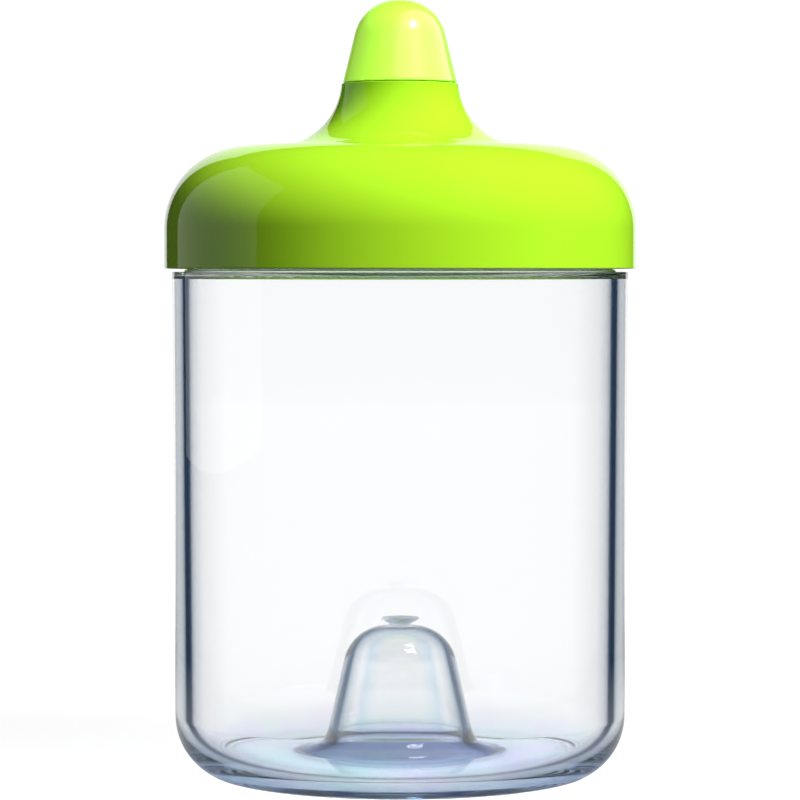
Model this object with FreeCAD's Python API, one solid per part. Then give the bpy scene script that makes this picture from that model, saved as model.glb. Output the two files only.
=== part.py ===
import FreeCAD, Part
import math
import os

# Sippy cup: a clear tumbler, a domed screw lid with a bell-shaped neck, and a push-pull mouthpiece.
# Millimetres. +Z is up, the origin is the centre of the base on the surface it stands on.
# Heights are measured from that surface, radii from the cup's axis.

# Tumbler
CUP_RADIUS = 36.8
CUP_FOOT_RADIUS = 36.33
CUP_WALL = 2.2
LEDGE_HEIGHT = 81.05
STANDING_RADIUS = 30.3
CORNER_RADIUS = 10.4
CORNER_HEIGHT = 3.1
FLOOR_HEIGHT = 2.4
INNER_CORNER_RADIUS = 7.2

# Neck of the tumbler, which the lid screws on to
NECK_RADIUS = 34.7
NECK_BORE = 32.4
RIM_HEIGHT = 92.5

# Bell pushed up into the base, which drops over the spout of a cup below
BELL_HEIGHT = 25.0
BELL_WALL = 1.1
BELL_ROOF = 1.5
BELL_TAPER = 0.225
BELL_FOOT_RADIUS = 13.2
BELL_DOME_RADIUS = 7.0
BELL_DOME_RADIUS_BELOW = 5.8
BELL_FLARE_INSIDE = 7.0
BELL_FLARE_BELOW = 5.5
GATE_RADIUS = 3.1
GATE_HEIGHT = 25.15

# Screw thread shared by the tumbler and the lid
THREAD_LEAD = 12.0
THREAD_STARTS = 3
CUP_THREAD_CREST = 35.65
CUP_THREAD_SWEEP = 140.0
CUP_THREAD_HEIGHT = 84.2
LID_THREAD_CREST = 35.05
LID_THREAD_SWEEP = 70.0
LID_THREAD_HEIGHT = 83.1
LID_THREAD_LAG = 1.5

# Lid
LID_RADIUS = 38.0
LID_EDGE_HEIGHT = 81.5
LID_WALL = 2.0
SHOULDER_RADIUS = 13.15
SHOULDER_HEIGHT = 101.15
FLARE_RADIUS = 11.06
LID_NECK_RADIUS = 9.4
LID_NECK_HEIGHT = 111.3
SPOUT_GUIDE_BORE = 6.75
COLLAR_BORE = 9.5
COLLAR_RADIUS = 11.0
COLLAR_FOOT = 97.0
COLLAR_SEAT = 104.4
SEAL_RIB_INNER = 30.8
SEAL_RIB_OUTER = 31.7
SEAL_RIB_FOOT = 91.0

# Air inlet at the back of the lid
VENT_OFFSET = 22.6
VENT_HOLE_RADIUS = 0.6
VENT_BOSS_RADIUS = 3.4
VENT_BOSS_BORE = 2.2
VENT_BOSS_FOOT = 95.2

# Fixed core of the spout
CHIMNEY_RADIUS = 5.2
CHIMNEY_BORE = 3.9
CHIMNEY_HEIGHT = 118.5
BEAD_RADIUS = 5.55
BEAD_FOOT = 111.3
BEAD_HEIGHT = 114.5
CORE_FLANGE_FOOT = 102.6
O_RING_HEIGHT = 112.9
O_RING_RADIUS = 5.1
O_RING_SECTION = 0.5
PLUG_RADIUS = 2.55
STEM_RADIUS = 1.5

# Sliding mouthpiece
TIP_FOOT = 111.42
TIP_FOOT_RADIUS = 9.22
TIP_TAPER = 0.245
TIP_HEIGHT = 124.8
TIP_DOME_RADIUS = 7.0
TIP_WALL = 1.6
SLEEVE_FOOT = 105.0
SLEEVE_RADIUS = 6.65
SLEEVE_BORE = 5.65
LIP_BORE = 5.25
LIP_HEIGHT = 105.9
TIP_HOLE_RADIUS = 2.6

# Anti-spill valve and the ring that holds it
VALVE_RADIUS = 9.3
VALVE_THICKNESS = 0.7
RETAINER_FOOT = 98.5
RETAINER_TOP = 100.8
RETAINER_RADIUS = 9.4
RETAINER_BORE = 6.2

AXIS_POINT = FreeCAD.Vector(0, 0, 0)
AXIS = FreeCAD.Vector(0, 0, 1)


def corner_arc(before, corner, after, radius):
    """Where a rounded corner leaves the first side, its middle, and where it meets the second side."""
    back = (before - corner).normalize()
    ahead = (after - corner).normalize()
    half_angle = back.getAngle(ahead) / 2
    reach = radius / math.tan(half_angle)
    middle_ray = (back + ahead).normalize()
    centre = corner + middle_ray * (radius / math.sin(half_angle))
    return corner + back * reach, centre - middle_ray * radius, corner + ahead * reach


def outline(corners):
    """Closed outline in the half-plane of radius and height. A corner is (radius, height, rounding)."""
    places = [FreeCAD.Vector(corner[0], 0, corner[1]) for corner in corners]
    roundings = [corner[2] if len(corner) > 2 else 0 for corner in corners]
    count = len(corners)
    arrivals = []
    departures = []
    edges = []
    for index in range(count):
        if roundings[index] == 0:
            arrivals.append(places[index])
            departures.append(places[index])
            continue
        after = places[(index + 1) % count]
        start, middle, end = corner_arc(places[index - 1], places[index], after, roundings[index])
        edges.append(Part.Arc(start, middle, end).toShape())
        arrivals.append(start)
        departures.append(end)
    for index in range(count):
        start = departures[index]
        end = arrivals[(index + 1) % count]
        if start.distanceToPoint(end) > 0.001:
            edges.append(Part.LineSegment(start, end).toShape())
    return Part.Wire(Part.__sortEdges__(edges))


def turned(corners):
    """Solid of revolution of an outline about the cup's axis."""
    return Part.Face(outline(corners)).revolve(AXIS_POINT, AXIS, 360)


def cylinder(radius, foot, top, x=0, y=0):
    return Part.makeCylinder(radius, top - foot, FreeCAD.Vector(x, y, foot))


def ring(inner, outer, foot, top, x=0, y=0):
    return cylinder(outer, foot, top, x, y).cut(cylinder(inner, foot, top, x, y))


def block(length, width, foot, top, x=0, y=0):
    """Upright block centred on (x, y)."""
    corner = FreeCAD.Vector(x - length / 2, y - width / 2, foot)
    return Part.makeBox(length, width, top - foot, corner)


def around(shape, count, first_angle=0.0):
    """Copies of a shape evenly spaced about the axis."""
    copies = []
    for index in range(count):
        copy = shape.copy()
        copy.rotate(AXIS_POINT, AXIS, first_angle + index * 360.0 / count)
        copies.append(copy)
    return copies


def thread_ridge(root, crest, root_width, crest_width, height, sweep):
    """One helical ridge that starts at angle zero and climbs over the given sweep in degrees."""
    path = Part.makeHelix(THREAD_LEAD, THREAD_LEAD * sweep / 360.0, (root + crest) / 2)
    section = Part.makePolygon(
        [
            FreeCAD.Vector(root, 0, -root_width / 2),
            FreeCAD.Vector(crest, 0, -crest_width / 2),
            FreeCAD.Vector(crest, 0, crest_width / 2),
            FreeCAD.Vector(root, 0, root_width / 2),
            FreeCAD.Vector(root, 0, -root_width / 2),
        ]
    )
    ridge = Part.Wire(path.Edges).makePipeShell([section], True, True)
    ridge.translate(FreeCAD.Vector(0, 0, height))
    return ridge


def bell_radius(height):
    """Radius of the bell's straight side on the drink's side."""
    return BELL_FOOT_RADIUS - BELL_TAPER * height


def bell_cavity_radius(height):
    """Radius of the bell's straight side seen from below the cup."""
    return bell_radius(height) - BELL_WALL * math.hypot(1, BELL_TAPER)


def cup_body():
    """Clear tumbler with the bell in its base, a ledge under the lid and a threaded neck."""
    cavity_top = BELL_HEIGHT - BELL_ROOF
    inner_wall = CUP_RADIUS - CUP_WALL
    inner_foot = CUP_FOOT_RADIUS - CUP_WALL
    body = turned(
        [
            (0, cavity_top),
            (bell_cavity_radius(cavity_top), cavity_top, BELL_DOME_RADIUS_BELOW),
            (bell_cavity_radius(0), 0, BELL_FLARE_BELOW),
            (STANDING_RADIUS, 0, 0.8),
            (CUP_FOOT_RADIUS, CORNER_HEIGHT, CORNER_RADIUS),
            (CUP_RADIUS, LEDGE_HEIGHT, 0.15),
            (NECK_RADIUS, LEDGE_HEIGHT, 0.3),
            (NECK_RADIUS, RIM_HEIGHT, 0.6),
            (NECK_BORE, RIM_HEIGHT, 0.6),
            (NECK_BORE, LEDGE_HEIGHT + 1.3, 1.0),
            (inner_wall, LEDGE_HEIGHT - 0.95, 0.5),
            (inner_foot, FLOOR_HEIGHT, INNER_CORNER_RADIUS),
            (bell_radius(FLOOR_HEIGHT), FLOOR_HEIGHT, BELL_FLARE_INSIDE),
            (bell_radius(BELL_HEIGHT), BELL_HEIGHT, BELL_DOME_RADIUS),
            (0, BELL_HEIGHT),
        ]
    )
    gate_mark = cylinder(GATE_RADIUS, BELL_HEIGHT - 0.5, GATE_HEIGHT)
    ridge = thread_ridge(
        NECK_RADIUS - 0.3, CUP_THREAD_CREST, 2.0, 1.0, CUP_THREAD_HEIGHT, CUP_THREAD_SWEEP
    )
    return body.fuse([gate_mark] + around(ridge, THREAD_STARTS)).removeSplitter()


def lid_outside():
    """Everything within the lid's outer surface."""
    above = LID_NECK_HEIGHT + 5
    whole = turned(
        [
            (0, LID_EDGE_HEIGHT),
            (LID_RADIUS, LID_EDGE_HEIGHT, 0.25),
            (LID_RADIUS, SHOULDER_HEIGHT, SHOULDER_RADIUS),
            (LID_NECK_RADIUS, SHOULDER_HEIGHT, FLARE_RADIUS),
            (LID_NECK_RADIUS, above),
            (0, above),
        ]
    )
    return whole.common(cylinder(LID_RADIUS + 1, LID_EDGE_HEIGHT - 1, LID_NECK_HEIGHT))


def lid_hollow():
    """Space under the lid, at an even wall from its outer surface, left solid where the collar stands."""
    below = LID_EDGE_HEIGHT - 1
    above = LID_NECK_HEIGHT + 5
    inner_top = SHOULDER_HEIGHT - LID_WALL
    hollow = turned(
        [
            (0, below),
            (LID_RADIUS - LID_WALL, below),
            (LID_RADIUS - LID_WALL, inner_top, SHOULDER_RADIUS - LID_WALL),
            (LID_NECK_RADIUS - LID_WALL, inner_top, FLARE_RADIUS + LID_WALL),
            (LID_NECK_RADIUS - LID_WALL, above),
            (0, above),
        ]
    )
    return hollow.cut(cylinder(COLLAR_RADIUS, COLLAR_FOOT, above))


def lid_shell():
    """Domed lid with its skirt, bell neck, inner collar for the valve, seal rib, thread and air inlet."""
    shell = lid_outside().cut(lid_hollow())
    shell = shell.cut(cylinder(COLLAR_BORE, COLLAR_FOOT - 1, COLLAR_SEAT))
    shell = shell.cut(cylinder(SPOUT_GUIDE_BORE, COLLAR_SEAT - 1, LID_NECK_HEIGHT + 1))
    under_shoulder = SHOULDER_HEIGHT - LID_WALL
    seal_rib = ring(SEAL_RIB_INNER, SEAL_RIB_OUTER, SEAL_RIB_FOOT, under_shoulder - 1)
    snap_bead = turned(
        [
            (COLLAR_BORE + 0.2, RETAINER_FOOT - 0.9),
            (COLLAR_BORE + 0.2, RETAINER_FOOT - 0.15),
            (COLLAR_BORE - 0.2, RETAINER_FOOT - 0.35),
            (COLLAR_BORE - 0.2, RETAINER_FOOT - 0.6),
        ]
    )
    vent_boss = ring(
        VENT_BOSS_BORE, VENT_BOSS_RADIUS, VENT_BOSS_FOOT, under_shoulder + 0.3, y=VENT_OFFSET
    )
    first_angle = 360.0 * LID_THREAD_LAG / THREAD_LEAD
    first_angle += 360.0 * (LID_THREAD_HEIGHT - CUP_THREAD_HEIGHT) / THREAD_LEAD
    ridge = thread_ridge(
        LID_RADIUS - LID_WALL + 0.3, LID_THREAD_CREST, 1.8, 0.9, LID_THREAD_HEIGHT, LID_THREAD_SWEEP
    )
    ridges = around(ridge, THREAD_STARTS, first_angle)
    shell = shell.fuse([seal_rib, snap_bead, vent_boss] + ridges).removeSplitter()
    return shell.cut(cylinder(VENT_HOLE_RADIUS, 98, SHOULDER_HEIGHT + 1, y=VENT_OFFSET))


def lid_gasket():
    """Silicone ring that the lid presses on the tumbler's rim."""
    foot = RIM_HEIGHT + 0.05
    inner = SEAL_RIB_OUTER + 0.3
    return turned(
        [
            (inner, foot, 0.3),
            (inner + 2.3, foot, 0.3),
            (inner + 2.3, foot + 0.95, 0.3),
            (inner + 1.2, foot + 2.3, 0.3),
            (inner, foot + 2.3, 0.3),
        ]
    )


def spout_core():
    """Chimney fixed in the lid, with a plug on three ribs that closes the mouthpiece's hole."""
    groove_radius = O_RING_RADIUS - O_RING_SECTION
    groove_half = O_RING_SECTION + 0.15
    flange_radius = COLLAR_BORE - 0.05
    tube = turned(
        [
            (CHIMNEY_BORE, CORE_FLANGE_FOOT + 0.7),
            (6.2, CORE_FLANGE_FOOT + 0.7),
            (6.2, CORE_FLANGE_FOOT),
            (flange_radius, CORE_FLANGE_FOOT, 0.3),
            (flange_radius, COLLAR_SEAT - 0.02, 0.3),
            (CHIMNEY_RADIUS, COLLAR_SEAT - 0.02, 0.4),
            (CHIMNEY_RADIUS, BEAD_FOOT),
            (BEAD_RADIUS, BEAD_FOOT, 0.1),
            (BEAD_RADIUS, O_RING_HEIGHT - groove_half),
            (groove_radius, O_RING_HEIGHT - groove_half),
            (groove_radius, O_RING_HEIGHT + groove_half),
            (BEAD_RADIUS, O_RING_HEIGHT + groove_half),
            (BEAD_RADIUS, BEAD_HEIGHT, 0.2),
            (CHIMNEY_RADIUS, BEAD_HEIGHT + 0.4),
            (CHIMNEY_RADIUS, CHIMNEY_HEIGHT, 0.4),
            (CHIMNEY_BORE, CHIMNEY_HEIGHT, 0.3),
        ]
    )
    plug = turned(
        [
            (0, 108.5),
            (STEM_RADIUS, 108.5, 0.6),
            (STEM_RADIUS, 121.4, 0.8),
            (PLUG_RADIUS, 122.6, 0.2),
            (PLUG_RADIUS, TIP_HEIGHT - 0.3, 0.2),
            (0, TIP_HEIGHT),
        ]
    )
    rib = block(3.2, 1.2, 109.0, 117.5, x=2.6)
    return tube.fuse([plug] + around(rib, 3, 30.0)).removeSplitter()


def spout_o_ring():
    """Silicone ring in the chimney's groove."""
    return Part.makeTorus(O_RING_RADIUS, O_RING_SECTION, FreeCAD.Vector(0, 0, O_RING_HEIGHT))


def tip_radius(height):
    """Radius of the mouthpiece's straight side."""
    return TIP_FOOT_RADIUS - TIP_TAPER * (height - TIP_FOOT)


def spout_tip():
    """Rounded cone with a drinking hole, on a sleeve that slides over the chimney."""
    outside = turned(
        [
            (0, SLEEVE_FOOT),
            (SLEEVE_RADIUS, SLEEVE_FOOT, 0.3),
            (SLEEVE_RADIUS, TIP_FOOT + 3.8),
            (TIP_FOOT_RADIUS - TIP_WALL, TIP_FOOT),
            (TIP_FOOT_RADIUS, TIP_FOOT, 0.2),
            (tip_radius(TIP_HEIGHT), TIP_HEIGHT, TIP_DOME_RADIUS),
            (0, TIP_HEIGHT),
        ]
    )
    inner_top = TIP_HEIGHT - TIP_WALL
    inside = turned(
        [
            (0, SLEEVE_FOOT - 1),
            (LIP_BORE, SLEEVE_FOOT - 1),
            (LIP_BORE, LIP_HEIGHT),
            (SLEEVE_BORE, LIP_HEIGHT + 0.2),
            (SLEEVE_BORE, inner_top, TIP_DOME_RADIUS - TIP_WALL),
            (0, inner_top),
        ]
    )
    hole = turned(
        [
            (0, inner_top - 2),
            (TIP_HOLE_RADIUS, inner_top - 2),
            (TIP_HOLE_RADIUS, TIP_HEIGHT - 0.45),
            (TIP_HOLE_RADIUS + 0.4, TIP_HEIGHT + 0.1),
            (0, TIP_HEIGHT + 0.1),
        ]
    )
    return outside.cut([inside, hole])


def spill_valve():
    """Silicone disc, dished towards the drink, with a cross slit that opens when the child sucks."""
    dish = 100.2
    rim_foot = RETAINER_TOP + 0.03
    rim_top = CORE_FLANGE_FOOT - 0.03
    disc = turned(
        [
            (0, dish),
            (3.2, dish, 2.0),
            (RETAINER_BORE - 0.2, rim_foot + 0.5, 0.5),
            (RETAINER_BORE + 0.3, rim_foot),
            (VALVE_RADIUS, rim_foot, 0.2),
            (VALVE_RADIUS, rim_top, 0.2),
            (RETAINER_BORE - 0.5, rim_top, 0.3),
            (3.2, dish + VALVE_THICKNESS, 2.0),
            (0, dish + VALVE_THICKNESS),
        ]
    )
    slit = block(5.0, 0.12, dish - 1, dish + 1.5)
    return disc.cut(around(slit, 4)[:2])


def valve_retainer():
    """Snap ring that holds the valve up in the collar, with three finger notches."""
    clip = turned(
        [
            (RETAINER_BORE, RETAINER_FOOT, 0.3),
            (RETAINER_RADIUS, RETAINER_FOOT, 0.3),
            (RETAINER_RADIUS, RETAINER_TOP, 0.2),
            (RETAINER_BORE, RETAINER_TOP, 0.2),
        ]
    )
    notch = block(2.0, 3.0, RETAINER_FOOT - 1, RETAINER_FOOT + 1, x=RETAINER_BORE + 0.6)
    return clip.cut(around(notch, 3, 90.0))


def vent_valve():
    """Silicone duckbill pressed into the boss under the lid, which lets air in and no drink out."""
    barrel = cylinder(VENT_BOSS_BORE - 0.05, VENT_BOSS_FOOT - 0.5, 98.8, y=VENT_OFFSET)
    flange_foot = VENT_BOSS_FOOT - 1.0
    flange = cylinder(VENT_BOSS_RADIUS - 0.1, flange_foot, VENT_BOSS_FOOT - 0.03, y=VENT_OFFSET)
    bill_foot = flange_foot - 2.2
    wide = outline_rectangle(3.2, 3.2, flange_foot, VENT_OFFSET)
    narrow = outline_rectangle(3.2, 0.9, bill_foot, VENT_OFFSET)
    bill = Part.makeLoft([wide, narrow], True)
    bore = cylinder(1.3, flange_foot - 0.2, 100, y=VENT_OFFSET)
    slit = block(2.4, 0.12, bill_foot - 1, flange_foot + 1, y=VENT_OFFSET)
    return barrel.fuse([flange, bill]).removeSplitter().cut([bore, slit])


def outline_rectangle(length, width, height, y):
    """Closed rectangle on the level of a height, centred on (0, y)."""
    half_length = length / 2
    half_width = width / 2
    signs = [(-1, -1), (1, -1), (1, 1), (-1, 1), (-1, -1)]
    return Part.makePolygon(
        [FreeCAD.Vector(a * half_length, y + b * half_width, height) for a, b in signs]
    )


NODES = {
    "cup_body": cup_body,
    "lid_shell": lid_shell,
    "lid_gasket": lid_gasket,
    "spout_core": spout_core,
    "spout_o_ring": spout_o_ring,
    "spout_tip": spout_tip,
    "spill_valve": spill_valve,
    "valve_retainer": valve_retainer,
    "vent_valve": vent_valve,
}

os.makedirs("parts", exist_ok=True)
for name, make in NODES.items():
    shape = make()
    box = shape.BoundBox
    print(
        f"{name}: {len(shape.Solids)} solid, valid {shape.isValid()}, {shape.Volume:.1f} mm3,"
        f" z {box.ZMin:.2f} to {box.ZMax:.2f}, radius {box.XMax:.2f}"
    )
    shape.exportStep(f"parts/{name}.step")
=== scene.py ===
"""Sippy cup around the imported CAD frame: clear tumbler, domed lime screw lid, paler push-pull mouthpiece.

Metres, +Z up, the cup's axis on Z and the camera in front on -Y. Radii are from the axis.
"""

import math

import bmesh
import bpy
from mathutils import Matrix, Vector

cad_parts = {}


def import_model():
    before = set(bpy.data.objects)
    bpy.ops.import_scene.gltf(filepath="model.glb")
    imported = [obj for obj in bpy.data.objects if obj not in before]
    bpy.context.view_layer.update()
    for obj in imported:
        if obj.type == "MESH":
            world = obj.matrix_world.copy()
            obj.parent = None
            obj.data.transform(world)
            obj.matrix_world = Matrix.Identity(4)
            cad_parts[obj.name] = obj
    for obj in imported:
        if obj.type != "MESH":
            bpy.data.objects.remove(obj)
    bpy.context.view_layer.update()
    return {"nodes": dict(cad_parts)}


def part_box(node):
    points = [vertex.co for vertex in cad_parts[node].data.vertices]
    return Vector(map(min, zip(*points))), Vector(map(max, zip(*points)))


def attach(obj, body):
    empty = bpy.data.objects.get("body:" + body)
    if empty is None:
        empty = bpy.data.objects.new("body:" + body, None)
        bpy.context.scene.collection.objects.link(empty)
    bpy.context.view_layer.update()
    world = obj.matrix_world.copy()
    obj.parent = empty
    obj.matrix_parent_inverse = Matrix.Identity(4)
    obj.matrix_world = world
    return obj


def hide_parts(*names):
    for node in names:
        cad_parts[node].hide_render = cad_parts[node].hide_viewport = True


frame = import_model()

MM = 0.001

# Fineness of the turned meshes: faces around, angle along an arc, and height of a row on a threaded wall
TURNS = 256
ARC_STEP = math.radians(4)
THREAD_ROW = 0.12 * MM

# Tumbler
CUP_RADIUS = 36.8 * MM
CUP_FOOT_RADIUS = 36.33 * MM
CUP_WALL = 2.2 * MM
LEDGE_HEIGHT = 81.05 * MM
STANDING_RADIUS = 30.3 * MM
CORNER_HEIGHT = 3.1 * MM
CORNER_RADIUS = 10.4 * MM
FLOOR_HEIGHT = 2.4 * MM
INNER_CORNER_RADIUS = 7.2 * MM
NECK_RADIUS = 34.7 * MM
NECK_BORE = 32.4 * MM
RIM_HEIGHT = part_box("cup_body")[1].z

# Bell in the tumbler's base
BELL_HEIGHT = 25.0 * MM
BELL_WALL = 1.1 * MM
BELL_ROOF = 1.5 * MM
BELL_DOME_RADIUS = 7.0 * MM
BELL_DOME_RADIUS_BELOW = 5.8 * MM
BELL_FLARE_INSIDE = 7.0 * MM
BELL_FLARE_BELOW = 5.5 * MM
BELL_TAPER = 0.225
BELL_FOOT_RADIUS = 13.2 * MM
GATE_RADIUS = 3.1 * MM
GATE_RISE = 0.15 * MM
GATE_DROP = 0.09 * MM

# Thread shared by the tumbler and the lid
THREAD_LEAD = 12.0 * MM
THREAD_STARTS = 3
THREAD_FADE = math.radians(5)
CUP_THREAD = {
    "height": 84.2 * MM,
    "rise": 0.95 * MM,
    "root": 0.9 * MM,
    "crest": 0.5 * MM,
    "first": 0.0,
    "sweep": math.radians(140),
}
LID_THREAD = {
    "height": 83.1 * MM,
    "rise": -0.95 * MM,
    "root": 0.8 * MM,
    "crest": 0.45 * MM,
    "first": math.radians(12),
    "sweep": math.radians(70),
}

# Lid
LID_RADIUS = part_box("lid_shell")[1].x
LID_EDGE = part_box("lid_shell")[0].z
LID_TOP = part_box("lid_shell")[1].z
LID_WALL = 2.0 * MM
SKIRT_TOP = 87.6 * MM
SHOULDER_RADIUS = 13.15 * MM
SHOULDER_HEIGHT = 101.15 * MM
FLARE_RADIUS = 11.06 * MM
LID_NECK_RADIUS = 9.4 * MM
SPOUT_GUIDE_BORE = 6.75 * MM
COLLAR_BORE = 9.5 * MM
COLLAR_RADIUS = 11.0 * MM
COLLAR_FOOT = 97.0 * MM
COLLAR_SEAT = 104.4 * MM
SNAP_BEAD = 98.0 * MM
SEAL_RIB_INNER = 30.8 * MM
SEAL_RIB_OUTER = 31.7 * MM
SEAL_RIB_FOOT = 91.0 * MM
VENT_OFFSET = 22.6 * MM
VENT_HOLE_RADIUS = 0.6 * MM
VENT_BOSS_RADIUS = 3.4 * MM
VENT_BOSS_BORE = 2.2 * MM
VENT_BOSS_FOOT = 95.2 * MM

# Mouthpiece
TIP_FOOT = 111.42 * MM
TIP_FOOT_RADIUS = 9.22 * MM
TIP_TAPER = 0.245
TIP_TOP = 124.8 * MM
TIP_DOME_RADIUS = 7.0 * MM
TIP_WALL = 1.6 * MM
TIP_HOLE_RADIUS = 2.6 * MM
SLEEVE_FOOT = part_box("spout_tip")[0].z
SLEEVE_RADIUS = 6.65 * MM
SLEEVE_BORE = 5.65 * MM
LIP_BORE = 5.25 * MM
LIP_HEIGHT = 105.9 * MM

# Where the tumbler's materials change
WALL_REACH = 25 * MM
FOOT_TOP = 12 * MM

# Camera, and the height that the lamps face
MIDDLE_HEIGHT = 60 * MM
EYE_HEIGHT = 81.5 * MM
EYE_DISTANCE = 549.5 * MM
LENS_MM = 153.0
DOWNWARD_TILT = math.radians(2.207)

# Painted shade at the edges of the clear plastic: a dark glass mixed in by each face's tilt to the view
# stands in for dark surroundings.
# A stop is (tilt, share of dark), where tilt is 0 for a face seen face on.
# The dusk is the colour of the painted dark part, first up the wall and then down at the base. An inner edge
# is dark where light leaves the plastic, and its fade lightens it near the base. The other is dark only
# there.
WALL_EDGE_PAINTED_SHADE = {
    "stops": [
        (0.147, 0.0),
        (0.196, 0.12),
        (0.212, 0.28),
        (0.2205, 0.6),
        (0.2230, 1.0),
        (0.2350, 1.0),
        (0.2385, 0.5),
        (0.2440, 0.22),
        (0.2540, 0.1),
    ],
    "dusk": [(0.0, (0.018, 0.045, 0.095)), (1.0, (0.025, 0.060, 0.20))],
    "inner": True,
    "fade": 0.75,
}
BELL_EDGE_PAINTED_SHADE = {
    "stops": [
        (0.130, 0.0),
        (0.175, 0.20),
        (0.202, 0.50),
        (0.2200, 0.95),
        (0.2500, 0.95),
        (0.265, 0.65),
        (0.290, 0.45),
        (0.320, 0.35),
    ],
    "dusk": [(0.0, (0.005, 0.085, 0.19)), (1.0, (0.01, 0.09, 0.30))],
    "inner": True,
    "fade": 0.0,
}
FOOT_EDGE_PAINTED_SHADE = {
    "stops": [
        (0.18, 0.0),
        (0.30, 0.25),
        (0.42, 0.50),
        (0.60, 0.62),
        (0.75, 0.70),
        (1.00, 0.55),
    ],
    "dusk": [(0.0, (0.04, 0.11, 0.20)), (1.0, (0.08, 0.17, 0.32))],
    "inner": False,
    "fade": 0.0,
}
# Painted shade: a tint that darkens and blues the light passing the faces at each tilt
RIM_PAINTED_SHADE_TINT = [
    (0.50, 1.0),
    (0.65, (0.74, 0.86, 0.97)),
    (0.77, (0.76, 0.87, 0.97)),
    (0.88, (0.93, 0.96, 0.99)),
    (1.00, 1.0),
]
BELL_PAINTED_SHADE_TINT = [
    (0.13, 1.0),
    (0.20, (0.78, 0.90, 0.97)),
    (0.27, (0.62, 0.80, 0.94)),
    (0.33, (0.88, 0.94, 0.98)),
    (0.42, 1.0),
]
NO_TINT = [(0.0, 1.0), (1.0, 1.0)]


def rounded(corners):
    """Points of an outline in (radius, height). A corner is (radius, height, rounding), or sharp without."""
    points = []
    count = len(corners)
    for index in range(count):
        corner = corners[index]
        if len(corner) == 2:
            points.append(corner)
            continue
        radius, height, rounding = corner
        before = corners[index - 1]
        after = corners[(index + 1) % count]
        back = (before[0] - radius, before[1] - height)
        ahead = (after[0] - radius, after[1] - height)
        back_length = math.hypot(*back)
        ahead_length = math.hypot(*ahead)
        back = (back[0] / back_length, back[1] / back_length)
        ahead = (ahead[0] / ahead_length, ahead[1] / ahead_length)
        half = math.acos(back[0] * ahead[0] + back[1] * ahead[1]) / 2
        middle = (back[0] + ahead[0], back[1] + ahead[1])
        middle_length = math.hypot(*middle)
        away = rounding / math.sin(half)
        centre = (
            radius + middle[0] / middle_length * away,
            height + middle[1] / middle_length * away,
        )
        reach = rounding / math.tan(half)
        start = (radius + back[0] * reach, height + back[1] * reach)
        end = (radius + ahead[0] * reach, height + ahead[1] * reach)
        first = math.atan2(start[1] - centre[1], start[0] - centre[0])
        sweep = math.atan2(end[1] - centre[1], end[0] - centre[0]) - first
        sweep = (sweep + math.pi) % (2 * math.pi) - math.pi
        steps = max(3, math.ceil(abs(sweep) / ARC_STEP))
        for step in range(steps + 1):
            angle = first + sweep * step / steps
            points.append(
                (centre[0] + rounding * math.cos(angle), centre[1] + rounding * math.sin(angle))
            )
    return points


def turned(name, outline, closed=True, relief=None):
    """Mesh of revolution. An outline that starts and ends on the axis is left open there.

    relief(angle, radius, height) gives how far a point stands out from the outline.
    """
    vertices = []
    rows = []
    for radius, height in outline:
        if radius < 1e-7:
            rows.append([len(vertices)])
            vertices.append((0.0, 0.0, height))
            continue
        row = []
        for turn in range(TURNS):
            angle = 2 * math.pi * turn / TURNS
            reach = radius + (relief(angle, radius, height) if relief else 0.0)
            row.append(len(vertices))
            vertices.append((reach * math.cos(angle), reach * math.sin(angle), height))
        rows.append(row)
    faces = []
    pairs = list(zip(rows, rows[1:]))
    if closed:
        pairs.append((rows[-1], rows[0]))
    for low, high in pairs:
        if len(low) == 1 and len(high) == 1:
            continue
        for turn in range(TURNS):
            after = (turn + 1) % TURNS
            if len(low) == 1:
                faces.append((low[0], high[after], high[turn]))
            elif len(high) == 1:
                faces.append((low[turn], low[after], high[0]))
            else:
                faces.append((low[turn], low[after], high[after], high[turn]))
    mesh = bpy.data.meshes.new(name)
    mesh.from_pydata(vertices, [], faces)
    mesh.validate()
    obj = bpy.data.objects.new(name, mesh)
    bpy.context.scene.collection.objects.link(obj)
    return obj


def smooth(obj):
    """Round surfaces shade smoothly and edges over 35 degrees stay crisp."""
    obj.data.shade_smooth()
    obj.data.set_sharp_from_angle(angle=math.radians(35))
    even = obj.modifiers.new("even_normals", "WEIGHTED_NORMAL")
    even.keep_sharp = True


def ridge(thread, angle, height):
    """How far the thread's ridges stand out at a place on the wall."""
    share = 0.0
    for start in range(THREAD_STARTS):
        along = (angle - thread["first"] - 2 * math.pi * start / THREAD_STARTS) % (2 * math.pi)
        ends = min(along, thread["sweep"] - along) / THREAD_FADE
        middle = thread["height"] + THREAD_LEAD * along / (2 * math.pi)
        slope = thread["root"] - thread["crest"]
        side = (thread["root"] - abs(height - middle)) / slope
        share = max(share, min(1.0, ends, side))
    return share * thread["rise"]


def wall_rows(radius, foot, top):
    """Points up a straight wall, close enough for the thread to show."""
    count = round((top - foot) / THREAD_ROW)
    return [(radius, foot + (top - foot) * step / count) for step in range(count + 1)]


def bell_radius(height):
    """Radius of the bell's straight side on the drink's side."""
    return BELL_FOOT_RADIUS - BELL_TAPER * height


def cavity_radius(height):
    """Radius of the bell's straight side from below the cup."""
    return bell_radius(height) - BELL_WALL * math.hypot(1, BELL_TAPER)


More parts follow.
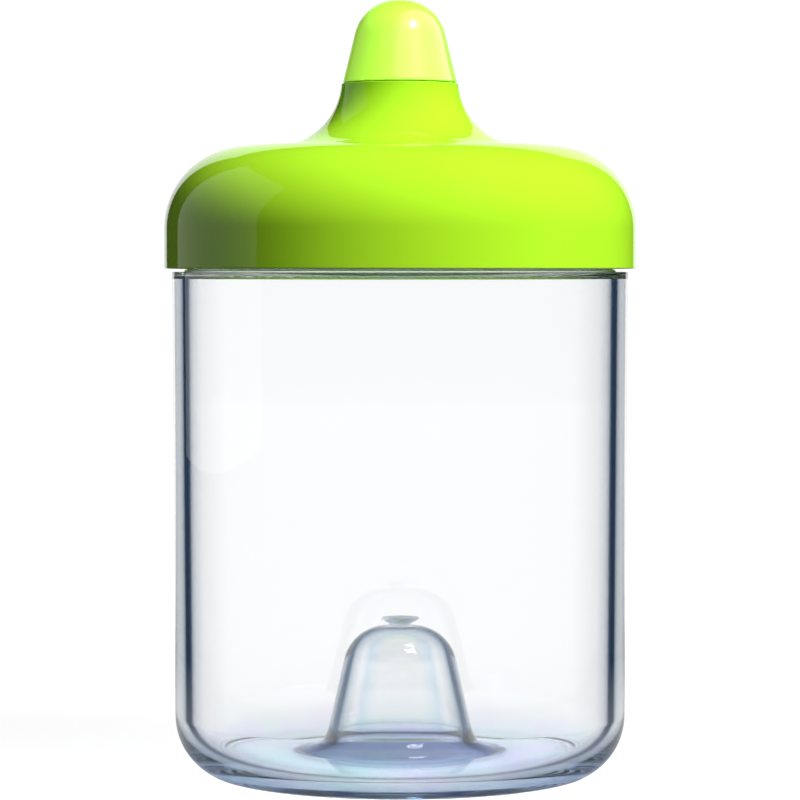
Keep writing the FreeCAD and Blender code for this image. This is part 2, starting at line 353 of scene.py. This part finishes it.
def tumbler():
    """Clear cup: recess, base, wall, threaded neck, inside, and the bell with its gate mark."""
    cavity_top = BELL_HEIGHT - BELL_ROOF
    wall = CUP_RADIUS - CUP_WALL
    foot = CUP_FOOT_RADIUS - CUP_WALL
    neck = wall_rows(NECK_RADIUS, LEDGE_HEIGHT + 0.6 * MM, RIM_HEIGHT - 0.9 * MM)
    outline = rounded(
        [
            (0.0, cavity_top),
            (cavity_radius(cavity_top), cavity_top, BELL_DOME_RADIUS_BELOW),
            (cavity_radius(0), 0.0, BELL_FLARE_BELOW),
            (STANDING_RADIUS, 0.0, 2.5 * MM),
            (CUP_FOOT_RADIUS, CORNER_HEIGHT, CORNER_RADIUS),
            (CUP_RADIUS, LEDGE_HEIGHT, 0.15 * MM),
            (NECK_RADIUS, LEDGE_HEIGHT, 0.3 * MM),
            *neck,
            (NECK_RADIUS, RIM_HEIGHT, 0.6 * MM),
            (NECK_BORE, RIM_HEIGHT, 0.6 * MM),
            (NECK_BORE, LEDGE_HEIGHT + 1.3 * MM, 1.0 * MM),
            (wall, LEDGE_HEIGHT - 0.95 * MM, 0.5 * MM),
            (foot, FLOOR_HEIGHT, INNER_CORNER_RADIUS),
            (bell_radius(FLOOR_HEIGHT), FLOOR_HEIGHT, BELL_FLARE_INSIDE),
            (bell_radius(BELL_HEIGHT), BELL_HEIGHT, BELL_DOME_RADIUS),
        ]
    )
    # The gate mark takes the place of the bell's top, out to its own radius
    outline = [place for place in outline if place[0] > GATE_RADIUS or place[1] < BELL_HEIGHT - 1 * MM]
    gate_top = BELL_HEIGHT + GATE_RISE
    outline += [
        (GATE_RADIUS, BELL_HEIGHT - GATE_DROP),
        (GATE_RADIUS, gate_top - 0.03 * MM),
        (GATE_RADIUS - 0.05 * MM, gate_top),
        (0.0, gate_top),
    ]

    def relief(angle, radius, height):
        on_neck = abs(radius - NECK_RADIUS) < 1e-6 and height < RIM_HEIGHT - 0.8 * MM
        return ridge(CUP_THREAD, angle, height) if on_neck else 0.0

    obj = turned("tumbler", outline, closed=False, relief=relief)
    smooth(obj)
    return obj


def shoulder_under(radius):
    """Height of the underside of the lid's rounded shoulder at a radius."""
    centre_radius = LID_RADIUS - SHOULDER_RADIUS
    centre_height = SHOULDER_HEIGHT - SHOULDER_RADIUS
    inside = SHOULDER_RADIUS - LID_WALL
    return centre_height + math.sqrt(inside**2 - (radius - centre_radius) ** 2)


def flare_height(radius, offset=0.0):
    """Height of the bell neck's outer surface at a radius, or of a surface an offset inside it."""
    centre_radius = LID_NECK_RADIUS + FLARE_RADIUS
    centre_height = SHOULDER_HEIGHT + FLARE_RADIUS
    reach = FLARE_RADIUS + offset
    return centre_height - math.sqrt(reach**2 - (centre_radius - radius) ** 2)


def lid():
    """Outer skin, rim, spout guide, collar with its snap bead, inner wall, seal rib and threaded skirt."""
    top = SHOULDER_HEIGHT
    above = LID_TOP + 20 * MM
    wall = LID_RADIUS - LID_WALL
    outer = rounded(
        [
            (wall, above),
            (wall, LID_EDGE, 0.3 * MM),
            (LID_RADIUS, LID_EDGE, 0.25 * MM),
            (LID_RADIUS, top, SHOULDER_RADIUS),
            (LID_NECK_RADIUS, top, FLARE_RADIUS),
            (LID_NECK_RADIUS, above),
        ]
    )
    outer = [place for place in outer if place[1] < LID_TOP - 0.1 * MM]
    # The rim starts a hair inside the end of the flare
    neck_radius = outer[-1][0] - 0.02 * MM
    rim = rounded(
        [
            (neck_radius, LID_TOP - 1 * MM),
            (neck_radius, LID_TOP, 0.15 * MM),
            (SPOUT_GUIDE_BORE, LID_TOP, 0.2 * MM),
            (SPOUT_GUIDE_BORE, COLLAR_SEAT),
            (COLLAR_BORE, COLLAR_SEAT),
            (COLLAR_BORE, SNAP_BEAD + 0.3 * MM),
            (COLLAR_BORE - 0.2 * MM, SNAP_BEAD + 0.1 * MM),
            (COLLAR_BORE - 0.2 * MM, SNAP_BEAD - 0.1 * MM),
            (COLLAR_BORE, SNAP_BEAD - 0.3 * MM),
            (COLLAR_BORE, COLLAR_FOOT, 0.2 * MM),
            (COLLAR_RADIUS, COLLAR_FOOT, 0.2 * MM),
            (COLLAR_RADIUS, flare_height(COLLAR_RADIUS, LID_WALL)),
        ]
    )
    under = rounded(
        [
            (LID_NECK_RADIUS - LID_WALL, above),
            (LID_NECK_RADIUS - LID_WALL, top - LID_WALL, FLARE_RADIUS + LID_WALL),
            (wall, top - LID_WALL, SHOULDER_RADIUS - LID_WALL),
            (wall, LID_EDGE),
        ]
    )
    inside = [place for place in under if COLLAR_RADIUS + 0.05 * MM < place[0] < SEAL_RIB_INNER]
    rib = [
        (SEAL_RIB_INNER, shoulder_under(SEAL_RIB_INNER)),
        (SEAL_RIB_INNER, SEAL_RIB_FOOT),
        (SEAL_RIB_OUTER, SEAL_RIB_FOOT),
        (SEAL_RIB_OUTER, shoulder_under(SEAL_RIB_OUTER)),
    ]
    shoulder = [place for place in under if place[0] > SEAL_RIB_OUTER and place[1] > SKIRT_TOP]
    skirt = wall_rows(wall, LID_EDGE + 0.5 * MM, SKIRT_TOP)[::-1]

    def relief(angle, radius, height):
        on_skirt = abs(radius - wall) < 1e-6 and LID_EDGE < height < SKIRT_TOP + 0.1 * MM
        return ridge(LID_THREAD, angle, height) if on_skirt else 0.0

    obj = turned("lid", outer + rim[1:] + inside + rib + shoulder + skirt, relief=relief)
    drill(obj, VENT_HOLE_RADIUS, (0.0, VENT_OFFSET, SHOULDER_HEIGHT - LID_WALL / 2))
    smooth(obj)
    return obj


def drill(obj, radius, place):
    """Upright round hole through a wall."""
    cutter_mesh = bpy.data.meshes.new("drill")
    cutter = bpy.data.objects.new("drill", cutter_mesh)
    bpy.context.scene.collection.objects.link(cutter)
    shape = bmesh.new()
    bmesh.ops.create_cone(
        shape, cap_ends=True, segments=48, radius1=radius, radius2=radius, depth=6 * MM
    )
    shape.to_mesh(cutter_mesh)
    shape.free()
    cutter.location = place
    cut = obj.modifiers.new("cut", "BOOLEAN")
    cut.operation = "DIFFERENCE"
    cut.solver = "EXACT"
    cut.object = cutter
    graph = bpy.context.evaluated_depsgraph_get()
    graph.update()
    drilled = bpy.data.meshes.new_from_object(obj.evaluated_get(graph))
    obj.modifiers.clear()
    obj.data = drilled
    bpy.data.objects.remove(cutter)


def vent_boss():
    """Short tube under the lid that holds the air valve."""
    top = SHOULDER_HEIGHT - LID_WALL + 0.3 * MM
    obj = turned(
        "vent_boss",
        rounded(
            [
                (VENT_BOSS_BORE, top),
                (VENT_BOSS_BORE, VENT_BOSS_FOOT, 0.2 * MM),
                (VENT_BOSS_RADIUS, VENT_BOSS_FOOT, 0.2 * MM),
                (VENT_BOSS_RADIUS, top),
            ]
        ),
    )
    obj.data.transform(Matrix.Translation((0.0, VENT_OFFSET, 0.0)))
    smooth(obj)
    return obj


def tip_radius(height):
    """Radius of the mouthpiece's straight side."""
    return TIP_FOOT_RADIUS - TIP_TAPER * (height - TIP_FOOT)


def mouthpiece():
    """Rounded cone with its drinking hole, on the sleeve that slides over the chimney."""
    outside = rounded(
        [
            (LIP_BORE, LIP_HEIGHT),
            (LIP_BORE, SLEEVE_FOOT, 0.1 * MM),
            (SLEEVE_RADIUS, SLEEVE_FOOT, 0.3 * MM),
            (SLEEVE_RADIUS, TIP_FOOT + 3.8 * MM),
            (TIP_FOOT_RADIUS - TIP_WALL, TIP_FOOT),
            (TIP_FOOT_RADIUS, TIP_FOOT, 0.2 * MM),
            (tip_radius(TIP_TOP), TIP_TOP, TIP_DOME_RADIUS),
            (0.0, TIP_TOP),
        ]
    )
    brim = TIP_HOLE_RADIUS + 0.06 * MM
    outside = [place for place in outside if place[0] > brim + 0.1 * MM]
    lean = math.radians(90) + math.atan(TIP_TAPER)
    dome_middle = tip_radius(TIP_TOP) - TIP_DOME_RADIUS / math.tan(lean / 2)
    dome_rise = math.sqrt(TIP_DOME_RADIUS**2 - (brim - dome_middle) ** 2)
    brim_height = TIP_TOP - TIP_DOME_RADIUS + dome_rise
    inner_top = TIP_TOP - TIP_WALL
    inside = rounded(
        [
            (0.0, SLEEVE_FOOT),
            (0.0, inner_top),
            (SLEEVE_BORE, inner_top, TIP_DOME_RADIUS - TIP_WALL),
            (SLEEVE_BORE, LIP_HEIGHT + 0.2 * MM),
        ]
    )
    inside = [place for place in inside if place[0] > TIP_HOLE_RADIUS]
    hole = [
        (brim, brim_height),
        (TIP_HOLE_RADIUS, brim_height - 0.1 * MM),
        (TIP_HOLE_RADIUS, inside[0][1]),
    ]
    obj = turned("mouthpiece", outside + hole + inside)
    smooth(obj)
    return obj


def feed(tree, socket, value):
    """Gives a socket a value, or links it to another node's output."""
    if isinstance(value, bpy.types.NodeSocket):
        tree.links.new(value, socket)
    else:
        socket.default_value = value


def add(tree, kind, **inputs):
    """Adds a node and feeds its sockets by name."""
    made = tree.nodes.new("ShaderNode" + kind)
    for name, value in inputs.items():
        feed(tree, made.inputs[name.replace("_", " ")], value)
    return made


def maths(tree, operation, first, second):
    """Result of an operation on two values, each a number or another node's output."""
    made = tree.nodes.new("ShaderNodeMath")
    made.operation = operation
    feed(tree, made.inputs[0], first)
    feed(tree, made.inputs[1], second)
    return made.outputs[0]


def ramp(tree, factor, stops):
    """Colours along a factor; a stop is (place, colour) and a colour is a grey or red, green, blue."""
    made = tree.nodes.new("ShaderNodeValToRGB")
    tree.links.new(factor, made.inputs[0])
    band = made.color_ramp
    while len(band.elements) < len(stops):
        band.elements.new(0.5)
    for element, (place, colour) in zip(band.elements, stops):
        shade = (colour, colour, colour) if isinstance(colour, (int, float)) else colour
        element.position = place
        element.color = (*shade, 1)
    return made.outputs[0]


def blank(name):
    """New material with only an output in it. Gives the material, its tree and its surface socket."""
    material = bpy.data.materials.new(name)
    material.use_nodes = True
    tree = material.node_tree
    tree.nodes.clear()
    output = tree.nodes.new("ShaderNodeOutputMaterial")
    return material, tree, output.inputs["Surface"]


def own_place(tree):
    """Place on the piece itself, which moves with it."""
    return add(tree, "TexCoord").outputs["Object"]


def noise(tree, scale, detail):
    """Soft random pattern that is fixed to the piece."""
    return add(tree, "TexNoise", Vector=own_place(tree), Scale=scale, Detail=detail).outputs["Fac"]


def scaled(tree, value, lowest, highest, first=0.0, last=1.0):
    """Turns a value between lowest and highest into one between first and last."""
    made = add(
        tree, "MapRange", Value=value, From_Min=lowest, From_Max=highest, To_Min=first, To_Max=last
    )
    return made.outputs["Result"]


def bumps(tree, pattern, strength, distance):
    """Normals of a surface that a pattern makes slightly uneven."""
    return add(tree, "Bump", Height=pattern, Strength=strength, Distance=distance).outputs["Normal"]


def clear_plastic(name, painted_shade_tint=NO_TINT, painted_shade=None, body=(0.965, 0.972, 0.978), roughness=0.0):
    """Clear plastic with faint moulding tints near the base, and painted shade that darkens and blues it by
    each face's tilt to the view, darkest at its edges.
    """
    material, tree, surface = blank(name)
    height = add(tree, "SeparateXYZ", Vector=own_place(tree)).outputs["Z"]
    low = scaled(tree, height, 2 * MM, 9 * MM, 1.0, 0.0)
    tint = ramp(
        tree,
        noise(tree, 70.0, 2.0),
        [(0.35, (0.80, 0.96, 0.94)), (0.5, (0.90, 0.94, 0.98)), (0.65, (0.90, 0.84, 0.99))],
    )
    colour = add(tree, "MixRGB", Fac=low, Color1=(*body, 1), Color2=tint)
    facing = add(tree, "LayerWeight", Blend=0.5)
    # Painted shade: the light through a face is darkened and blued by its tilt to the view
    shade = ramp(tree, facing.outputs["Facing"], painted_shade_tint)
    tinted = add(tree, "MixRGB", Fac=1.0, Color1=colour.outputs["Color"], Color2=shade)
    tinted.blend_type = "MULTIPLY"
    shader = add(
        tree,
        "BsdfPrincipled",
        Base_Color=tinted.outputs["Color"],
        Roughness=roughness,
        IOR=1.57,
        Transmission_Weight=1.0,
        Normal=bumps(tree, noise(tree, 45.0, 1.0), 0.012, 0.0004),
    )
    look = shader.outputs["BSDF"]
    if painted_shade:
        # Painted shade: a dark glass mixed in by the face's tilt to the view, in place of dark surroundings
        # seen through the plastic
        amount = ramp(tree, facing.outputs["Facing"], painted_shade["stops"])
        if painted_shade["inner"]:
            leaving = add(tree, "NewGeometry").outputs["Backfacing"]
            kept = maths(tree, "SUBTRACT", 1.0, maths(tree, "MULTIPLY", low, painted_shade["fade"]))
            amount = maths(tree, "MULTIPLY", amount, maths(tree, "MULTIPLY", leaving, kept))
        else:
            amount = maths(tree, "MULTIPLY", amount, scaled(tree, height, 4 * MM, 9 * MM, 1.0, 0.0))
        dusk = add(tree, "BsdfGlass", Color=ramp(tree, low, painted_shade["dusk"]), Roughness=0.0, IOR=1.57)
        mixed = add(tree, "MixShader", Fac=amount)
        tree.links.new(look, mixed.inputs[1])
        tree.links.new(dusk.outputs[0], mixed.inputs[2])
        look = mixed.outputs[0]
    through = add(tree, "BsdfTransparent", Color=(0.93, 0.95, 0.96, 1))
    path = add(tree, "LightPath")
    final = add(tree, "MixShader", Fac=path.outputs["Is Shadow Ray"])
    tree.links.new(look, final.inputs[1])
    tree.links.new(through.outputs[0], final.inputs[2])
    tree.links.new(final.outputs[0], surface)
    return material


def lime_plastic():
    """Opaque glossy moulded plastic with a faint orange-peel surface."""
    material, tree, surface = blank("lime_plastic")
    colours = [(0.3, (0.385, 0.76, 0.018)), (0.7, (0.405, 0.78, 0.023))]
    shader = add(
        tree,
        "BsdfPrincipled",
        Base_Color=ramp(tree, noise(tree, 60.0, 3.0), colours),
        Roughness=scaled(tree, noise(tree, 140.0, 4.0), 0.0, 1.0, 0.03, 0.07),
        IOR=1.5,
        Normal=bumps(tree, noise(tree, 900.0, 1.0), 0.03, 0.0001),
    )
    tree.links.new(shader.outputs["BSDF"], surface)
    return material


def pale_lime_plastic():
    """Paler and softer moulded plastic with a satin surface."""
    material, tree, surface = blank("pale_lime_plastic")
    colours = [(0.3, (0.37, 0.96, 0.05)), (0.7, (0.40, 0.98, 0.07))]
    shader = add(
        tree,
        "BsdfPrincipled",
        Base_Color=ramp(tree, noise(tree, 90.0, 3.0), colours),
        Roughness=scaled(tree, noise(tree, 260.0, 4.0), 0.0, 1.0, 0.22, 0.27),
        IOR=1.45,
        Normal=bumps(tree, noise(tree, 1400.0, 2.0), 0.04, 0.0001),
    )
    tree.links.new(shader.outputs["BSDF"], surface)
    return material


def silicone():
    """Cloudy, slightly rubbery silicone."""
    material, tree, surface = blank("clear_silicone")
    colours = [(0.3, (0.72, 0.75, 0.77)), (0.7, (0.80, 0.82, 0.83))]
    smear = noise(tree, 500.0, 4.0)
    shader = add(
        tree,
        "BsdfPrincipled",
        Base_Color=ramp(tree, noise(tree, 180.0, 3.0), colours),
        Roughness=scaled(tree, smear, 0.0, 1.0, 0.34, 0.50),
        IOR=1.41,
        Subsurface_Weight=0.7,
        Subsurface_Radius=(1.0, 1.0, 1.0),
        Subsurface_Scale=2 * MM,
        Normal=bumps(tree, smear, 0.10, 0.0001),
    )
    tree.links.new(shader.outputs["BSDF"], surface)
    return material


def towards(azimuth, elevation, distance):
    """Place at an azimuth to the right of the camera's side of the cup, an elevation and a distance."""
    turn = math.radians(azimuth)
    rise = math.radians(elevation)
    flat = distance * math.cos(rise)
    return Vector((flat * math.sin(turn), -flat * math.cos(turn), distance * math.sin(rise)))


def glowing(name, corners, faces, strength):
    """Glowing sheet that lights the cup and shows in its gloss, but not to the eye or through plastic."""
    mesh = bpy.data.meshes.new(name)
    mesh.from_pydata(corners, [], faces)
    obj = bpy.data.objects.new(name, mesh)
    bpy.context.scene.collection.objects.link(obj)
    material, tree, surface = blank(name)
    glow = add(tree, "Emission", Color=(1, 1, 1, 1), Strength=strength)
    tree.links.new(glow.outputs[0], surface)
    mesh.materials.append(material)
    obj.visible_camera = False
    obj.visible_transmission = False
    obj.visible_shadow = False


def backdrop():
    """Lit paper that runs out on the floor behind the cup and then turns up."""
    near = 0.06
    far = 1.5
    spread = math.tan(math.radians(22.5))
    level = 0.5 * MM
    height = 1.1
    corners = []
    for distance in (near, far):
        half = distance * spread
        corners += [(-half, distance, level), (half, distance, level)]
    corners += [(-far * spread, far, height), (far * spread, far, height)]
    glowing("backdrop", corners, [(0, 1, 3, 2), (2, 3, 5, 4)], 1.0)


def grey_card():
    """Large dim card on the left, which shows as a crisp grey window in the lid."""
    corners = []
    for azimuth in (-71, -135):
        foot = towards(azimuth, 0, 0.9)
        corners += [(foot.x, foot.y, -0.1), (foot.x, foot.y, 0.95)]
    glowing("grey_card", corners, [(0, 2, 3, 1)], 0.5)


def lamp(name, kind, place, power):
    """Lamp that faces the middle of the cup."""
    data = bpy.data.lights.new(name, kind)
    data.energy = power
    obj = bpy.data.objects.new(name, data)
    bpy.context.scene.collection.objects.link(obj)
    obj.location = place
    facing = place - Vector((0, 0, MIDDLE_HEIGHT))
    obj.rotation_euler = facing.to_track_quat("Z", "Y").to_euler()
    obj.visible_camera = False
    return obj


def shine_on(light, *objects):
    """Keeps a lamp's light to some of the pieces."""
    lit = bpy.data.collections.new(light.name + "_lit")
    for obj in objects:
        lit.objects.link(obj)
    light.light_linking.receiver_collection = lit


def by_ray(tree, other, **levels):
    """Strength that depends on what looks at it: the eye, the clear plastic, gloss or a matt surface."""
    path = add(tree, "LightPath")
    strength = other
    for ray, level in levels.items():
        pick = tree.nodes.new("ShaderNodeMix")
        feed(tree, pick.inputs[0], path.outputs[f"Is {ray} Ray"])
        feed(tree, pick.inputs[2], strength)
        feed(tree, pick.inputs[3], level)
        strength = pick.outputs[0]
    return strength


def stage():
    """Pale floor. It glows nearly white to the eye, and through the clear plastic it shows a painted shade,
    dark blue near the cup.
    """
    mesh = bpy.data.meshes.new("floor")
    reach = 60.0
    level = -0.02 * MM
    mesh.from_pydata(
        [(-reach, -reach, level), (reach, -reach, level), (reach, reach, level), (-reach, reach, level)],
        [],
        [(0, 1, 2, 3)],
    )
    floor = bpy.data.objects.new("floor", mesh)
    bpy.context.scene.collection.objects.link(floor)
    material, tree, surface = blank("floor")
    matt = add(tree, "BsdfDiffuse", Color=by_ray(tree, 0.04, Camera=0.07))
    distance = add(tree, "VectorMath", Vector=own_place(tree))
    distance.operation = "LENGTH"
    away = scaled(tree, distance.outputs["Value"], 0.0, 0.2)
    # Painted shade under and around the cup, seen only through the clear plastic
    shade = ramp(
        tree,
        away,
        [
            (0.06, (0.04, 0.09, 0.26)),
            (0.09, (0.31, 0.43, 0.62)),
            (0.11, (0.68, 0.73, 0.80)),
            (0.17, (0.76, 0.79, 0.83)),
            (0.20, (0.90, 0.93, 0.96)),
            (0.28, 0.96),
            (1.0, 1.0),
        ],
    )
    path = add(tree, "LightPath")
    colour = add(tree, "MixRGB", Fac=path.outputs["Is Transmission Ray"], Color1=(1, 1, 1, 1), Color2=shade)
    near = ramp(tree, away, [(0.25, 0.7), (0.9, 0.0)])
    strength = by_ray(tree, 0.01, Glossy=near, Transmission=1.0, Camera=0.95)
    glow = add(tree, "Emission", Color=colour.outputs["Color"], Strength=strength)
    both = add(tree, "AddShader")
    tree.links.new(matt.outputs[0], both.inputs[0])
    tree.links.new(glow.outputs[0], both.inputs[1])
    tree.links.new(both.outputs[0], surface)
    mesh.materials.append(material)


def world():
    """White to the eye, bright at the horizon and dusky above through the clear plastic, dim to gloss."""
    studio = bpy.data.worlds.new("studio")
    bpy.context.scene.world = studio
    studio.use_nodes = True
    tree = studio.node_tree
    tree.nodes.clear()
    output = tree.nodes.new("ShaderNodeOutputWorld")
    direction = add(tree, "TexCoord")
    axes = add(tree, "SeparateXYZ", Vector=direction.outputs["Generated"])
    dusk = ramp(
        tree,
        axes.outputs["Z"],
        [(0.0, 1.0), (0.25, 1.0), (0.5, (0.45, 0.55, 0.72)), (0.85, (0.22, 0.30, 0.46))],
    )
    path = add(tree, "LightPath")
    colour = add(tree, "MixRGB", Fac=path.outputs["Is Transmission Ray"], Color1=(1, 1, 1, 1), Color2=dusk)
    strength = by_ray(tree, 0.02, Transmission=1.01, Camera=1.05)
    sky = add(tree, "Background", Color=colour.outputs["Color"], Strength=strength)
    tree.links.new(sky.outputs[0], output.inputs["Surface"])


def camera():
    """Camera in front of the cup, level with its lid's edge and tilted down a little."""
    data = bpy.data.cameras.new("camera")
    data.lens = LENS_MM
    data.sensor_width = 36
    obj = bpy.data.objects.new("camera", data)
    bpy.context.scene.collection.objects.link(obj)
    obj.location = (0, -EYE_DISTANCE, EYE_HEIGHT)
    obj.rotation_euler = (math.radians(90) - DOWNWARD_TILT, 0, 0)
    data.clip_start = 0.01
    bpy.context.scene.camera = obj


def lights(cup, spout):
    """Soft key, two highlights on the cup, and a warm fill and a wide sheen on the mouthpiece."""
    key = lamp("key", "SUN", towards(52, 46, 2.0), 6.1)
    key.data.angle = math.radians(30)
    key.visible_glossy = False
    key.visible_transmission = False
    spark = lamp("spark", "AREA", towards(43, 51, 0.8), 6.0)
    spark.data.shape = "DISK"
    spark.data.size = 0.09
    spark.visible_diffuse = False
    shine_on(spark, cup, spout)
    glint = lamp("glint", "AREA", towards(33, 61, 0.8), 31.0)
    glint.data.shape = "DISK"
    glint.data.size = 0.25
    glint.visible_diffuse = False
    shine_on(glint, cup)
    fill = lamp("fill", "SUN", towards(-35, 10, 2.0), 3.6)
    fill.data.color = (1.0, 0.67, 0.62)
    fill.data.angle = math.radians(60)
    fill.visible_glossy = False
    fill.visible_transmission = False
    shine_on(fill, spout)
    sheen = lamp("sheen", "SUN", towards(62, 12, 2.0), 12.0)
    sheen.data.angle = math.radians(140)
    sheen.visible_diffuse = False
    sheen.visible_transmission = False
    shine_on(sheen, spout)


def dress_tumbler(cup):
    """Clear plastic on every face, with painted shade set by each face's tilt to the view on all but the gate
    mark. The wall's drink side, the bell's recess side, the foot and the gate mark have versions of their
    own.
    """
    versions = {
        "rest": clear_plastic("clear_plastic", RIM_PAINTED_SHADE_TINT),
        "wall": clear_plastic("clear_plastic_wall", painted_shade=WALL_EDGE_PAINTED_SHADE),
        "bell": clear_plastic("clear_plastic_bell", BELL_PAINTED_SHADE_TINT, BELL_EDGE_PAINTED_SHADE),
        "foot": clear_plastic("clear_plastic_foot", RIM_PAINTED_SHADE_TINT, FOOT_EDGE_PAINTED_SHADE),
        "gate": clear_plastic("clear_plastic_gate", body=(0.42, 0.46, 0.50), roughness=0.35),
    }
    order = list(versions)
    for version in versions.values():
        cup.data.materials.append(version)
    for face in cup.data.polygons:
        radius = math.hypot(face.center.x, face.center.y)
        outward = (face.normal.x * face.center.x + face.normal.y * face.center.y) / radius
        part = "rest"
        if face.center.z > BELL_HEIGHT and radius < GATE_RADIUS:
            part = "gate"
        elif outward > 0.05 and radius > WALL_REACH and face.center.z < FOOT_TOP:
            part = "foot"
        elif outward < -0.05:
            part = "wall" if radius > WALL_REACH else "bell"
        face.material_index = order.index(part)


def dress_node(node, look):
    """Puts one material on a carried-over CAD node."""
    node.data.materials.clear()
    node.data.materials.append(look)


lime = lime_plastic()

cup = tumbler()
dress_tumbler(cup)
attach(cup, "cup")
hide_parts("cup_body")

cover = lid()
cover.data.materials.append(lime)
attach(cover, "lid")
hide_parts("lid_shell")

boss = vent_boss()
boss.data.materials.append(lime)
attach(boss, "lid")

spout = mouthpiece()
spout.data.materials.append(pale_lime_plastic())
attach(spout, "spout")
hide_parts("spout_tip")

cloudy = silicone()
nodes = frame["nodes"]
for name in ("spout_core", "valve_retainer"):
    dress_node(nodes[name], lime)
for name in ("lid_gasket", "spout_o_ring", "spill_valve", "vent_valve"):
    dress_node(nodes[name], cloudy)

stage()
world()
camera()
backdrop()
grey_card()
lights(cup, spout)

scene = bpy.context.scene
scene.view_settings.view_transform = "Standard"
scene.cycles.max_bounces = 64
scene.cycles.transmission_bounces = 64
scene.cycles.glossy_bounces = 64
